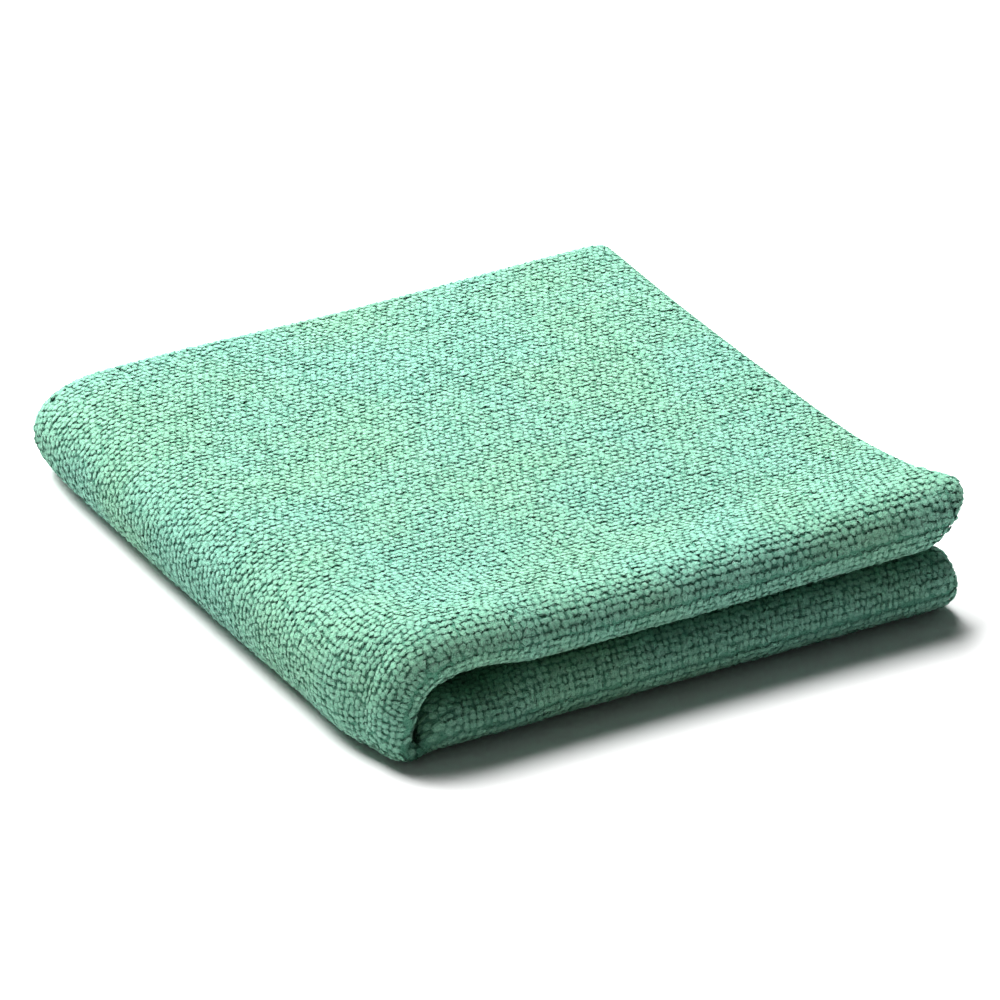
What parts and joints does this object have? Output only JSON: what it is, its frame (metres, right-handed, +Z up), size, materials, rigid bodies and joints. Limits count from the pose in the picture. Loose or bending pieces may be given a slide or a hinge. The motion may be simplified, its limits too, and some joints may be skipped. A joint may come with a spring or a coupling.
{
  "type": "folded terry cleaning cloth",
  "caption": "Plush seafoam-green terry cleaning cloth folded in half twice into a flat stack with rounded front rolls; the upper half opens like a book cover.",
  "frame": {"origin": "middle of the face that the stack rests on", "axes": "+X right along the front rolls, from the left fold to the right edge; +Y back, from the front rolls to the free edges; +Z up"},
  "size_m": [0.188, 0.203, 0.0381],
  "materials": {
    "terry_cloth": "matt bead-like terry pile, seafoam green",
    "overlock_thread": "textured polyester thread, slightly deeper green"
  },
  "bodies": {
    "lower_half": {"cloth_lower_half": "terry_cloth", "right_seam_lower": "overlock_thread", "back_outer_seam_lower": "overlock_thread", "back_inner_seam_lower": "overlock_thread"},
    "upper_half": {"cloth_upper_half": "terry_cloth", "right_seam_upper": "overlock_thread", "back_outer_seam_upper": "overlock_thread", "back_inner_seam_upper": "overlock_thread"}
  },
  "joints": [
    {"name": "left_fold", "type": "hinge", "parent": "lower_half", "child": "upper_half", "pos_m": [-0.0942, 0, 0.01615], "axis": [0, -0.9995, 0.031], "range_deg": [0, 180]}
  ]
}
